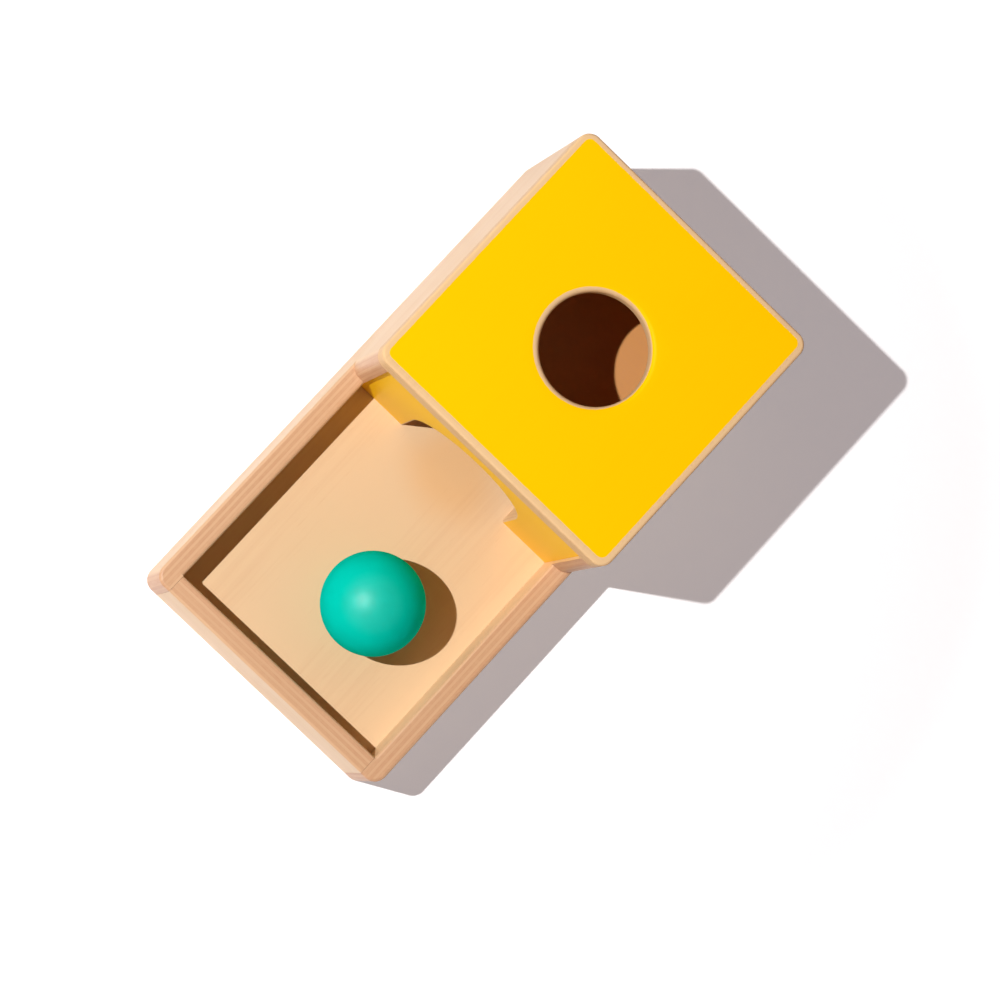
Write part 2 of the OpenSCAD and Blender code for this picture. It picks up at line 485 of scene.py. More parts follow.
def build_plywood():
    """Birch plywood as a solid: plies stacked along the board's own X, grain of its faces along Y.

    A point's ply is its place along X over the ply's thickness, rounded. Every second ply has its
    grain along Z. Grain is noise drawn out along its own direction, so a cut across it shows pores.
    The tone runs from the pale veneer at 0 to the deep end grain at 1. It rises where a surface
    cuts the plies: by Cut for every ply, by Lines for their difference and the glue between them,
    and by Ends for a cut across the board.
    """
    tree, net, entry = new_group(
        "Birch plywood",
        [("Place", VECTOR, None), ("Facing", VECTOR, None), ("Ply", FLOAT, 1.3 * MM),
         ("Plies", FLOAT, 7.0), ("Pale", COLOUR, None), ("Deep", COLOUR, None), ("Cut", FLOAT, 0.6),
         ("Lines", FLOAT, 0.15), ("Streaks", FLOAT, 0.35), ("Ends", FLOAT, 0.14), ("Seed", FLOAT, 0.0)],
        [("Color", COLOUR), ("Height", FLOAT), ("Pores", FLOAT)],
    )
    across = net.parts(entry["Place"])[0]
    facing = [net.math("ABSOLUTE", part) for part in net.parts(entry["Facing"])]
    place = net.vector("ADD", entry["Place"], net.spread(net.even(entry["Seed"]), SEED_STEP))

    # The ply that a point lies in, counted from the middle one, and the glue between two plies
    sway = net.noise(net.spread(place, SEAM_WAVES))
    swayed = net.add(across, net.span(sway, 0, 1, -SEAM_SWAY, SEAM_SWAY))
    half = net.times(net.minus(net.over(entry["Plies"], 2.0), 0.25), entry["Ply"])
    held = net.math("MINIMUM", net.math("MAXIMUM", swayed, net.times(half, -1.0)), half)
    count = net.over(held, entry["Ply"])
    layer = net.math("ROUND", count)
    glue = net.step(net.math("ABSOLUTE", net.minus(count, layer)), 0.40, 0.48)

    # 1 in a ply whose grain runs across, counted from the face, with an even number to stay above 0
    even_number = 40.0
    from_face = net.add(net.over(net.minus(entry["Plies"], 1.0), 2.0), even_number)
    cross = net.math("MODULO", net.add(layer, from_face), 2.0)

    # Fine fibres, broad figure and short flecks
    ply_place = net.vector("ADD", place, net.even(net.times(layer, PLY_STEP)))
    long_fibres = net.noise(net.spread(ply_place, FIBRE_WAVES), detail=3, roughness=0.6)
    cross_fibres = net.noise(net.spread(ply_place, CROSS_FIBRE_WAVES), detail=3, roughness=0.6)
    fibres = net.blend(cross, long_fibres, cross_fibres)
    figure = net.noise(net.spread(ply_place, FIGURE_WAVES), roughness=0.45, distortion=0.9)
    figure = net.step(figure, 0.3, 0.7)
    flecks = net.span(net.noise(net.spread(ply_place, FLECK_WAVES), detail=1), 0.66, 0.78)

    # Where a surface cuts the plies, and how far each ply there shows its end grain
    edge = net.fade(facing[0], 0.80, 0.98)
    end = net.blend(cross, facing[1], facing[2])
    cut = net.add(entry["Cut"], net.times(net.centred(end), entry["Lines"]))
    cut = net.add(cut, net.times(facing[1], entry["Ends"]))

    figure_share = 0.34
    fleck_share = 0.10
    tone = net.add(net.times(edge, cut), net.times(net.centred(fibres), entry["Streaks"]))
    tone = net.add(tone, net.times(net.centred(figure), net.times(entry["Streaks"], figure_share)))
    tone = net.add(tone, net.times(net.times(glue, edge), entry["Lines"]))
    tone = net.add(tone, net.times(flecks, fleck_share), clamp=True)
    color = net.mix(tone, entry["Pale"], entry["Deep"])

    fibre_relief = 0.7
    glue_relief = -0.8
    sunk = net.times(glue, net.times(edge, glue_relief))
    height = net.math("MULTIPLY_ADD", fibres, fibre_relief, sunk)
    pores = net.times(net.math("ABSOLUTE", net.centred(fibres)), 2.0)
    net.node("NodeGroupOutput", {"Color": color, "Height": height, "Pores": pores})
    return tree


def build_oil():
    """Oil rubbed into wood: smudges of more and of less shine, and pores that stay rough."""
    tree, net, entry = new_group(
        "Rubbed oil",
        [("Place", VECTOR, None), ("Pores", FLOAT, 0.0), ("Sheen", FLOAT, 0.42)],
        [("Roughness", FLOAT), ("Smudge", FLOAT)],
    )
    pore_share = 0.12
    smudge = net.noise(entry["Place"], scale=28)
    rubbed = net.add(entry["Sheen"], net.span(smudge, 0.25, 0.75, -0.05, 0.05))
    roughness = net.add(rubbed, net.times(entry["Pores"], pore_share))
    net.node("NodeGroupOutput", {"Roughness": roughness, "Smudge": smudge})
    return tree


def build_turned_wood():
    """Solid turned wood: fine and broad noise, both drawn out along the piece's own Y."""
    tree, net, entry = new_group(
        "Turned wood",
        [("Place", VECTOR, None), ("Pale", COLOUR, None), ("Deep", COLOUR, None)],
        [("Color", COLOUR), ("Height", FLOAT)],
    )
    fine = net.noise(net.spread(entry["Place"], TURNED_WAVES), detail=3, roughness=0.6)
    broad = net.noise(net.spread(entry["Place"], TURNED_BROAD_WAVES))
    tone = net.add(net.vary(fine, 0.0, 0.6), net.vary(broad, 0.0, 0.4), clamp=True)
    color = net.mix(tone, entry["Pale"], entry["Deep"])
    net.node("NodeGroupOutput", {"Color": color, "Height": fine})
    return tree


def build_paint():
    """Rolled paint over plywood: a fine stipple, broad clouds, and grain that shows as relief."""
    tree, net, entry = new_group(
        "Rolled paint",
        [("Place", VECTOR, None), ("Hue", COLOUR, None), ("Clouds", FLOAT, 0.05),
         ("Roughness", FLOAT, 0.45)],
        [("Color", COLOUR), ("Height", FLOAT), ("Roughness", FLOAT)],
    )
    stipple = net.noise(entry["Place"], scale=1700)
    clouds = net.noise(entry["Place"], scale=16, detail=3)
    grain = net.noise(net.spread(entry["Place"], PAINTED_WAVES))

    grain_share = 0.02
    shade = net.times(net.centred(clouds), entry["Clouds"])
    shade = net.add(shade, net.times(net.centred(grain), grain_share))
    value = net.minus(1.0, net.math("ABSOLUTE", shade))
    color = net.tint(entry["Hue"], net.even(value))

    stipple_relief = 0.45
    grain_relief = 0.55
    height = net.math("MULTIPLY_ADD", stipple, stipple_relief, net.times(grain, grain_relief))
    roughness = net.add(entry["Roughness"], net.vary(clouds, -0.05, 0.05))
    net.node("NodeGroupOutput", {"Color": color, "Height": height, "Roughness": roughness})
    return tree


GROUP_BUILDERS = {
    "Birch plywood": build_plywood,
    "Rubbed oil": build_oil,
    "Turned wood": build_turned_wood,
    "Rolled paint": build_paint,
}


def shader_group(name):
    """A shader node group by its name, built the first time it is asked for."""
    return bpy.data.node_groups.get(name) or GROUP_BUILDERS[name]()


# Materials


def board_turn(stack, grain):
    """Turn of a board whose plies are stacked along one direction, with its grain along another."""
    return Matrix((stack, grain, stack.cross(grain))).transposed().to_euler()


class Board:
    """A plywood board of the frame: its middle, its turn, its plies and its stretch of noise."""

    def __init__(self, node, stack, grain, plies, seed, thickness=None):
        """The thickness is the length of the node's box along the stack, unless it is given."""
        self.centre = centre_of(node)
        self.turn = board_turn(stack, grain)
        self.plies = plies
        self.ply = (thickness or size_of(node).dot(stack)) / plies
        self.seed = seed


def start_material(name):
    """A material with no nodes yet: returns it and its wiring."""
    material = bpy.data.materials.new(name)
    material.use_nodes = True
    material.node_tree.nodes.clear()
    return material, Wiring(material.node_tree)


def close_material(net, feeds):
    """Puts the Principled shader, with its feeds, on the material's surface."""
    shader = net.node("ShaderNodeBsdfPrincipled", feeds)
    net.node("ShaderNodeOutputMaterial", {"Surface": shader.outputs[0]})


def own_place(net, centre, turn):
    """A point's place from a piece's middle, in the piece's own directions."""
    feeds = {0: net.object_place(), 1: centre, 2: turn}
    return net.node("ShaderNodeMapping", feeds, vector_type="TEXTURE").outputs[0]


def own_facing(net, turn):
    """The surface's normal in a piece's own directions."""
    feeds = {0: net.node("ShaderNodeTexCoord").outputs["Normal"], 2: turn}
    return net.node("ShaderNodeMapping", feeds, vector_type="TEXTURE").outputs[0]


def add_plywood(net, board, wood, pale, cut, ends):
    """The plywood group, set for one board: returns its outputs and the board's own place."""
    place = own_place(net, board.centre, board.turn)
    ply = net.group("Birch plywood", {
        "Place": place, "Facing": own_facing(net, board.turn), "Ply": board.ply,
        "Plies": float(board.plies), "Pale": (*pale, 1), "Deep": (*wood.deep, 1), "Cut": cut,
        "Lines": wood.lines, "Streaks": wood.streaks, "Ends": ends, "Seed": board.seed,
    })
    return ply, place


def plywood_material(name, board, wood, pale=None, bounce_at=None):
    """Oiled birch plywood for one board, with painted warm light round a point where one is given.

    The painted light, bounced off the yellow front, is full up to the core distance from the point
    and fades out at the reach.
    """
    material, net = start_material(name)
    ply, place = add_plywood(net, board, wood, pale or wood.pale, wood.cut, ends=0.14)
    oil = net.group("Rubbed oil", {"Place": place, "Pores": ply["Pores"], "Sheen": wood.sheen})
    color = ply["Color"]
    # Painted light: warm light bounced off the yellow front is painted onto the floor round the point
    if bounce_at is not None:
        ragged = 3 * MM
        away = net.measure("DISTANCE", net.object_place(), bounce_at)
        away = net.add(away, net.vary(oil["Smudge"], -ragged, ragged))
        near = net.fade(away, wood.bounce_core, wood.bounce_reach)
        color = net.mix(near, color, net.tint(color, (*wood.bounce_tint, 1)))
    close_material(net, {
        "Base Color": color,
        "Roughness": oil["Roughness"],
        "Normal": net.relief(ply["Height"], strength=0.22, depth=0.12 * MM),
        "Specular IOR Level": 0.5,
    })
    return material


def painted_material(name, board, wood, paint, hue, shine):
    """Plywood with rolled paint where the surface's "inset" attribute is above zero.

    "inset" is the distance in metres from the paint's edge, above zero under the paint. "inside" is
    1 on the face that is turned to the inside of the box, where a darker tint paints shade.
    """
    material, net = start_material(name)
    rim_cut_share = 0.2
    ply, place = add_plywood(net, board, wood, wood.rim, wood.cut * rim_cut_share, ends=0.04)
    coat_feeds = {"Place": place, "Hue": (*hue, 1), "Roughness": paint.roughness}
    coat = net.group("Rolled paint", coat_feeds)

    wander = net.noise(place, scale=420, detail=3, roughness=0.6)
    edge = net.add(net.attribute("inset"), net.vary(wander, -paint.edge, paint.edge))
    mask = net.step(edge, -0.08 * MM, 0.12 * MM)
    # Painted shade: the faces inside the box take a darker tint
    inside_shade = net.tint(ply["Color"], (*wood.inside_shade, 1))
    bare = net.mix(net.attribute("inside"), ply["Color"], inside_shade)

    coat_rise = 0.4
    height = net.blend(mask, ply["Height"], net.add(coat["Height"], coat_rise))
    close_material(net, {
        "Base Color": net.mix(mask, bare, coat["Color"]),
        "Roughness": net.blend(mask, wood.sheen, coat["Roughness"]),
        "Normal": net.relief(height, strength=0.2, depth=0.1 * MM),
        "Specular IOR Level": shine,
    })
    return material


def dowel_material(name, wood, centre, axis):
    """Plain turned wood with its grain along a dowel's axis."""
    material, net = start_material(name)
    beside = AXIS_X if axis == AXIS_Z else AXIS_Z
    place = own_place(net, centre, board_turn(beside, axis))
    turned_feeds = {"Place": place, "Pale": (*wood.dowel, 1), "Deep": (*wood.deep, 1)}
    turned = net.group("Turned wood", turned_feeds)
    close_material(net, {
        "Base Color": turned["Color"],
        "Roughness": net.vary(turned["Height"], 0.5, 0.62),
        "Normal": net.relief(turned["Height"], strength=0.2, depth=0.1 * MM),
        "Specular IOR Level": 0.5,
    })
    return material


def ball_material(ball):
    """Teal lacquer on turned wood: a fine orange-peel, rings and broad clouds of thickness.

    Its shine fades from where the ball faces the eye toward its rim.
    """
    material, net = start_material("Teal lacquer")
    place = own_place(net, centre_of("ball"), BALL_TURN)
    clouds = net.noise(place, scale=42, detail=3, roughness=0.55)
    peel = net.noise(place, scale=900)
    grain = net.noise(net.spread(place, BALL_WAVES))
    ring_waves = 5200.0
    rings = net.math("SINE", net.times(net.parts(place)[2], ring_waves))

    grain_share = 0.04
    value = net.add(net.vary(clouds, 0.93, 1.0), net.times(net.centred(grain), grain_share))
    peel_relief = 0.5
    grain_relief = 0.3
    ring_relief = 0.03
    height = net.add(net.times(grain, grain_relief), net.times(rings, ring_relief))
    height = net.add(net.times(peel, peel_relief), height)
    rimward = net.node("ShaderNodeLayerWeight", {"Blend": 0.5}).outputs["Facing"]
    close_material(net, {
        "Base Color": net.tint((*ball.teal, 1), net.even(value)),
        "Roughness": net.vary(clouds, ball.roughness + 0.03, ball.roughness - 0.03),
        "Normal": net.relief(height, strength=0.12, depth=0.1 * MM),
        "Specular IOR Level": net.fade(rimward, 0.0, ball.shine_reach, ball.shine),
        "Subsurface Weight": 1.0,
        "Subsurface Radius": (1.0, 1.0, 1.0),
        "Subsurface Scale": ball.light_reach,
    })
    return material


# Surfaces

# An inset that marks a place well outside the paint
UNPAINTED = -10 * MM


def finish_node(node, material):
    """Gives a CAD node its finish, in every slot."""
    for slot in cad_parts[node].material_slots:
        slot.material = material


def new_piece(name, points, faces, material, body, node, masks=None):
    """A smooth mesh piece from points and faces, riding on a body in place of a CAD node.

    Each mask is a number at each point, which the mesh carries as an attribute of that name.
    """
    mesh = bpy.data.meshes.new(name)
    mesh.from_pydata(points.tolist(), [], faces)
    for label, values in (masks or {}).items():
        layer = mesh.attributes.new(label, "FLOAT", "POINT")
        layer.data.foreach_set("value", values.astype(np.float32).ravel())
    mesh.validate()
    mesh.shade_smooth()
    mesh.set_sharp_from_angle(angle=math.radians(38))
    mesh.materials.append(material)
    piece = bpy.data.objects.new(name, mesh)
    bpy.context.scene.collection.objects.link(piece)
    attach(piece, body)
    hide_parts(node)


def grid_faces(rows, columns, closed_rows=False):
    """Quads between the points of a grid whose columns join round, and its rows too where asked."""
    steps = np.arange(rows if closed_rows else rows - 1)
    row, column = np.meshgrid(steps, np.arange(columns), indexing="ij")
    next_row = (row + 1) % rows
    next_column = (column + 1) % columns
    quads = np.stack([
        row * columns + column, row * columns + next_column,
        next_row * columns + next_column, next_row * columns + column,
    ], -1)
    return quads.reshape(-1, 4)


def arc(steps, start, stop):
    """Cosines and sines of evenly spaced angles, from a start to a stop in degrees."""
    angles = np.radians(np.linspace(start, stop, steps))
    return np.cos(angles), np.sin(angles)


def stack_rows(*stretches):
    """Rows of numbers from stretches, each a tuple whose numbers and arrays share one length."""
    return np.concatenate([np.stack(np.broadcast_arrays(*stretch), -1) for stretch in stretches])


def rounded_outline(half, corner, arc_points, side_steps):
    """A rectangle with round corners, as base points and outward normals of length one.

    A point of the outline is its base plus the corner radius times its normal. The base rests at a
    corner's middle while the normal turns through 90 degrees, and runs on to the next corner's
    middle while the normal rests.
    """
    angles = np.radians(np.add.outer((0, 90, 180, 270), np.linspace(0, 90, arc_points)))
    corner_normals = np.stack([np.cos(angles), np.sin(angles)], -1)
    middles = np.array([(1, 1), (-1, 1), (-1, -1), (1, -1)]) * (half - corner)
    share = np.linspace(0, 1, side_steps + 1)[1:-1, None]
    sides = middles[:, None] * (1 - share) + np.roll(middles, -1, axis=0)[:, None] * share
    corner_bases = np.repeat(middles[:, None], arc_points, axis=1)
    side_normals = np.repeat(corner_normals[:, -1:], side_steps - 1, axis=1)
    bases = np.concatenate([corner_bases, sides], axis=1).reshape(-1, 2)
    normals = np.concatenate([corner_normals, side_normals], axis=1).reshape(-1, 2)
    return bases, normals


def top_panel_surface(paint, edges):
    """Square panel with round corners, rounded edges and a round hole with a rounded rim.

    The first parameter runs round the panel's outline, and the second once round its section: up
    the bore, over the rim, across the face, over the outer edge, down the side and back across the
    underside. A row of the section holds its share of the way out, its radius at the hole, how far
    it lies inside the outline, and its height. A point is the circle of that radius times one less
    the share, plus the outline times the share. Returns the points, the faces and two masks: the
    inset from the paint's edge, and "inside", which is 1 on the underside.
    """
    low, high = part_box("top_panel")
    middle = np.array((low + high).xy / 2)
    half = np.array((high - low).xy / 2)
    rim = HOLE_RIM_RADIUS
    foot = edges.hole_foot
    outer = TOP_EDGE_RADIUS
    lower = TOP_FOOT_RADIUS
    bases, normals = rounded_outline(half, CORNER_RADIUS, arc_points=14, side_steps=40)

    foot_cos, foot_sin = arc(steps=9, start=90, stop=0)
    rim_cos, rim_sin = arc(steps=9, start=180, stop=90)
    outer_cos, outer_sin = arc(steps=9, start=90, stop=0)
    lower_cos, lower_sin = arc(steps=5, start=0, stop=-90)
    bore = np.linspace(low.z + foot, high.z - rim, 4)[1:-1]
    outwards = np.linspace(0, 1, 12)[1:]
    side = np.linspace(high.z - outer, low.z + lower, 6)[1:-1]
    back_inwards = np.linspace(1, 0, 12)[1:-1]
    share, radius, inwards, height = stack_rows(
        (0.0, HOLE_RADIUS + foot * (1 - foot_cos), 0.0, low.z + foot * (1 - foot_sin)),
        (0.0, HOLE_RADIUS, 0.0, bore),
        (0.0, HOLE_RADIUS + rim * (1 + rim_cos), 0.0, high.z - rim * (1 - rim_sin)),
        (outwards, HOLE_RADIUS + rim, paint.rim_width, high.z),
        (1.0, 0.0, outer * (1 - outer_cos), high.z - outer * (1 - outer_sin)),
        (1.0, 0.0, 0.0, side),
        (1.0, 0.0, lower * (1 - lower_cos), low.z + lower * (1 + lower_sin)),
        (back_inwards, HOLE_RADIUS + foot, lower, low.z),
    ).T

    outline = bases[:, None] + (CORNER_RADIUS - inwards)[None, :, None] * normals[:, None]
    way = bases + CORNER_RADIUS * normals
    way = way / np.linalg.norm(way, axis=-1, keepdims=True)
    circle = way[:, None] * radius[None, :, None]
    flat = circle * (1 - share)[None, :, None] + outline * share[None, :, None]
    heights = np.broadcast_to(height, flat.shape[:2])
    points = np.concatenate([flat + middle, heights[..., None]], axis=-1)

    past_base = np.abs(flat - np.array(paint.rim_slip)) - (half - CORNER_RADIUS)
    past_outline = np.linalg.norm(np.maximum(past_base, 0), axis=-1)
    past_outline = past_outline + np.minimum(past_base.max(-1), 0) - CORNER_RADIUS
    past_mask = np.linalg.norm(flat - np.array(paint.mask_slip), axis=-1) - paint.mask_radius
    inset = np.minimum(-paint.rim_width - past_outline, past_mask)
    inset = np.where(heights > high.z - outer, inset, UNPAINTED)
    underside = np.clip(1 - (height - low.z) / foot, 0, 1) * (share < 1)
    inside = np.broadcast_to(underside, heights.shape)
    faces = grid_faces(len(bases), len(share), closed_rows=True).tolist()
    return points.reshape(-1, 3), faces, {"inset": inset, "inside": inside}


def doorway_lines(foot, head, half_width, top):
    """The doorway's outline, its outward directions, and where these meet the board's outline.

    The outline runs up one leg, over the half circle round the head's middle and down the other
    leg. The directions are level along the legs and turn round the head. Each is followed to the
    nearer of the board's side and its top.
    """
    corner = math.atan2(top - head, half_width)
    angles = np.concatenate([
        np.linspace(0, corner, 12),
        np.linspace(corner, math.pi - corner, 40)[1:],
        np.linspace(math.pi - corner, math.pi, 12)[1:],
    ])
    legs = np.linspace(foot, head, 9)[:-1]
    inner = stack_rows(
        (DOORWAY_RADIUS, legs),
        (DOORWAY_RADIUS * np.cos(angles), head + DOORWAY_RADIUS * np.sin(angles)),
        (-DOORWAY_RADIUS, legs[::-1]),
    )
    level = np.zeros_like(legs)
    out = stack_rows((1.0, level), (np.cos(angles), np.sin(angles)), (-1.0, level))
    tiny = 1e-6
    across, upwards = np.maximum(np.abs(out), tiny).T
    reach = np.minimum(half_width / across, (top - head) / upwards)
    rising = out[:, 1] > tiny
    outer_height = np.where(rising, head + out[:, 1] * reach, inner[:, 1])
    return inner, out, np.stack([out[:, 0] * reach, outer_height], -1)


def front_panel_surface(edges):
    """Board with a round-headed doorway, as a closed section carried along the doorway's outline.

    The first parameter runs along the doorway. The second runs round the section: over the eased
    front edge, out across the front, back in across the back and over the eased back edge. A row
    of the section holds its share of the way out, how far it lies from the doorway, and its depth.
    A point is the doorway's point, moved out by that distance, times one less the share, plus the
    board's outline times the share. Returns the points, the faces and two masks: the inset from
    the paint's edge, and "inside", which is 1 on the back.
    """
    low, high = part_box("front_panel")
    floor_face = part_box("tray_floor")[1].z
    head = floor_face + DOORWAY_HEIGHT - DOORWAY_RADIUS
    inner, out, outer = doorway_lines(low.z, head, high.x, high.z)

    ease = edges.doorway
    ease_cos, ease_sin = arc(steps=6, start=0, stop=90)
    outwards = np.linspace(0, 1, 9)[1:]
    share, apart, depth = stack_rows(
        (0.0, ease * (1 - ease_cos), low.y + ease * (1 - ease_sin)),
        (outwards, ease, low.y),
        (outwards[::-1], ease, high.y),
        (0.0, ease * (1 - ease_sin), high.y - ease * (1 - ease_cos)),
    ).T

    start = inner[:, None] + out[:, None] * apart[None, :, None]
    flat = start * (1 - share)[None, :, None] + outer[:, None] * share[None, :, None]
    depths = np.broadcast_to(depth, flat.shape[:2])
    points = np.stack([flat[..., 0], depths, flat[..., 1]], -1)

    faces = grid_faces(len(inner), len(share)).tolist()
    foot = np.arange(len(share))
    last = (len(inner) - 1) * len(share)
    faces += [foot[::-1].tolist(), (foot + last).tolist()]

    bare_share = 0.8
    front_share = 0.7
    from_doorway = np.linalg.norm(flat - inner[:, None], axis=-1)
    on_front = depths < low.y + front_share * ease
    inset = np.where(on_front, from_doorway - bare_share * ease, UNPAINTED)
    on_back = (depth >= high.y) & (share > 0)
    inside = np.broadcast_to(on_back, depths.shape)
    return points.reshape(-1, 3), faces, {"inset": inset, "inside": inside}


def ball_surface(ball):
    """Turned ball: the radius less a shallow flat at each pole, with faint turning rings.

    The first parameter is the angle from the upper pole and the second the turn about the axis.
    The length from the middle is the radius, less the ring depth, less the flat times
    exp(-(angle from the nearer pole / the flat's angle) squared), plus the ring depth times
    cos(rings times angle). The axis is then tilted.
    """
    low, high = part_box("ball")
    radius = (high.z - low.z) / 2
    rows = 119
    columns = 192
    flat_angle = math.radians(9)
    angle = np.linspace(0, math.pi, rows + 2)[1:-1, None]
    turn = np.linspace(0, 2 * math.pi, columns, endpoint=False)[None, :]
    from_pole = np.minimum(angle, math.pi - angle)
    length = radius - ball.ring_depth - ball.flat * np.exp(-((from_pole / flat_angle) ** 2))
    length = length + ball.ring_depth * np.cos(ball.rings * angle)
    around = np.stack(np.broadcast_arrays(
        length * np.sin(angle) * np.cos(turn),
        length * np.sin(angle) * np.sin(turn),
        length * np.cos(angle),
    ), -1).reshape(-1, 3)
    tip = radius - ball.flat
    poles = np.array([(0, 0, tip), (0, 0, -tip)])
    tilt = np.array(BALL_TURN.to_matrix())
    points = np.concatenate([around, poles]) @ tilt.T + np.array(centre_of("ball"))

    upper = rows * columns
    lower = upper + 1
    here = np.arange(columns)
    following = (here + 1) % columns
    last_ring = (rows - 1) * columns
    faces = grid_faces(rows, columns)[:, ::-1].tolist()
    faces += np.stack([np.full(columns, upper), here, following], -1).tolist()
    faces += np.stack([np.full(columns, lower), last_ring + following, last_ring + here], -1).tolist()
    return points, faces


# Operators


class BALL_BOX_OT_side_boards(Operator):
    """Oiled plywood on both side boards, with the plies showing at their sanded edges"""

    bl_idname = "ball_box.side_boards"
    bl_label = "Side boards"

    def execute(self, context):
        wood = context.scene.box_wood
        for node, seed in (("side_board_left", 1.0), ("side_board_right", 2.3)):
            board = Board(node, AXIS_X, AXIS_Y, BOARD_PLIES, seed)
            finish_node(node, plywood_material("Plywood " + node, board, wood))
        return {"FINISHED"}


class BALL_BOX_OT_tray(Operator):
    """Plywood for the tray's floor, with painted bounced light at the doorway, and for its end wall"""

    bl_idname = "ball_box.tray"
    bl_label = "Tray"

    def execute(self, context):
        wood = context.scene.box_wood
        wall = Board("tray_end_wall", AXIS_Y, -AXIS_X, BOARD_PLIES, 3.1)
        finish_node("tray_end_wall", plywood_material("Plywood end wall", wall, wood))
        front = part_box("front_panel")[0]
        doorway = Vector((0, front.y, front.z))
        floor = Board("tray_floor", AXIS_Z, AXIS_Y, FLOOR_PLIES, 4.7)
        material = plywood_material("Plywood floor", floor, wood, bounce_at=doorway)
        finish_node("tray_floor", material)
        return {"FINISHED"}


class BALL_BOX_OT_back_panel(Operator):
    """Plywood for the back panel"""

    bl_idname = "ball_box.back_panel"
    bl_label = "Back panel"

    def execute(self, context):
        wood = context.scene.box_wood
        board = Board("back_panel", AXIS_Y, -AXIS_X, BOARD_PLIES, 5.9)
        finish_node("back_panel", plywood_material("Plywood back", board, wood))
        return {"FINISHED"}


class BALL_BOX_OT_front_panel(Operator):
    """The painted front panel with its bare, eased doorway"""

    bl_idname = "ball_box.front_panel"
    bl_label = "Front panel"

    def execute(self, context):
        scene = context.scene
        paint = scene.box_paint
        board = Board("front_panel", AXIS_Y, -AXIS_X, BOARD_PLIES, 6.2)
        material = painted_material(
            "Painted front", board, scene.box_wood, paint, paint.front_yellow, paint.front_shine)
        points, faces, masks = front_panel_surface(scene.box_edges)
        new_piece("painted_front_panel", points, faces, material, "toy_body",
                  "front_panel", masks)
        return {"FINISHED"}


class BALL_BOX_OT_top_panel(Operator):
    """The painted top panel with bare rounded edges and a round hole"""

    bl_idname = "ball_box.top_panel"
    bl_label = "Top panel"

    def execute(self, context):
        scene = context.scene
        paint = scene.box_paint
        board = Board("top_panel", AXIS_Z, AXIS_Y, TOP_PLIES, 7.7)
        material = painted_material(
            "Painted top", board, scene.box_wood, paint, paint.top_yellow, paint.top_shine)
        points, faces, masks = top_panel_surface(paint, scene.box_edges)
        new_piece("painted_top_panel", points, faces, material, "toy_body",
                  "top_panel", masks)
        return {"FINISHED"}


class BALL_BOX_OT_ramp(Operator):
    """Plywood for the ramp under the hole and for its two runners"""

    bl_idname = "ball_box.ramp"
    bl_label = "Ramp"

    def execute(self, context):
        wood = context.scene.box_wood
        up = Vector((0, -math.sin(RAMP_SLOPE), math.cos(RAMP_SLOPE)))
        along = Vector((0, math.cos(RAMP_SLOPE), math.sin(RAMP_SLOPE)))
        ramp = Board("ramp", up, along, RAMP_PLIES, 8.4, RAMP_THICKNESS)
        finish_node("ramp", plywood_material("Plywood ramp", ramp, wood, wood.ramp))
        for node, seed in (("ramp_runner_left", 9.1), ("ramp_runner_right", 9.6)):
            runner = Board(node, AXIS_X, AXIS_Y, BOARD_PLIES, seed)
            finish_node(node, plywood_material("Plywood " + node, runner, wood, wood.ramp))
        return {"FINISHED"}


class BALL_BOX_OT_dowels(Operator):
    """Turned wood for the ten hidden dowels"""

    bl_idname = "ball_box.dowels"
    bl_label = "Dowels"

    def execute(self, context):
        wood = context.scene.box_wood
        for node in sorted(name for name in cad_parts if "dowel" in name):
            size = size_of(node)
            axis = AXIS_Z if size.z > size.x else AXIS_X
            finish_node(node, dowel_material("Beech " + node, wood, centre_of(node), axis))
        return {"FINISHED"}


class BALL_BOX_OT_ball(Operator):
    """The turned ball in teal lacquer"""

    bl_idname = "ball_box.ball"
    bl_label = "Ball"

    def execute(self, context):
        ball = context.scene.box_ball
        points, faces = ball_surface(ball)
        new_piece("lacquered_ball", points, faces, ball_material(ball), "ball", "ball")
        return {"FINISHED"}


class BALL_BOX_OT_stage(Operator):
    """Pale floor, lamp, fill light and the camera above the toy"""

    bl_idname = "ball_box.stage"
    bl_label = "Stage"

    def execute(self, context):
        scene = context.scene
        lay_floor(scene, scene.box_studio)
        light_room(scene, scene.box_studio)
        place_camera(scene, scene.box_studio)
        return {"FINISHED"}


# Studio


def seen_rays(net):
    """1 for rays from the camera, and for rays that a glossy or a clear surface sends on."""
    path = net.node("ShaderNodeLightPath").outputs
    sent_on = net.math("MAXIMUM", path["Is Glossy Ray"], path["Is Transmission Ray"])
    return net.math("MAXIMUM", path["Is Camera Ray"], sent_on)


def lay_floor(scene, studio):
    """A white floor that keeps the toy's shadow and turns plain white further off.

    Its white takes the lamp's light. A glow that only seen rays meet adds the shadow's colour near
    the toy, so that the lit floor is white and the shade has that colour, and white further off.
    """
    reach = 12.0
    drop = 0.3 * MM
    points = [(x * reach, y * reach, -drop) for x, y in ((-1, -1), (1, -1), (1, 1), (-1, 1))]
    mesh = bpy.data.meshes.new("floor")
    mesh.from_pydata(points, [], [(0, 1, 2, 3)])
    floor = bpy.data.objects.new("floor", mesh)
    scene.collection.objects.link(floor)

    material, net = start_material("White floor")
    place = net.object_place()
    far = net.step(net.measure("LENGTH", place), studio.shadow_reach, studio.white_start)
    white = net.vary(net.noise(place, scale=240), 0.85, 0.87)
    paper = net.node("ShaderNodeBsdfDiffuse", {"Color": net.even(white)})
    tint = net.mix(far, (*studio.shadow, 1), (1, 1, 1, 1))
    glow = net.node("ShaderNodeEmission", {"Color": tint, "Strength": seen_rays(net)})
    both = net.node("ShaderNodeAddShader", {0: paper.outputs[0], 1: glow.outputs[0]})
    net.node("ShaderNodeOutputMaterial", {"Surface": both.outputs[0]})
    mesh.materials.append(material)


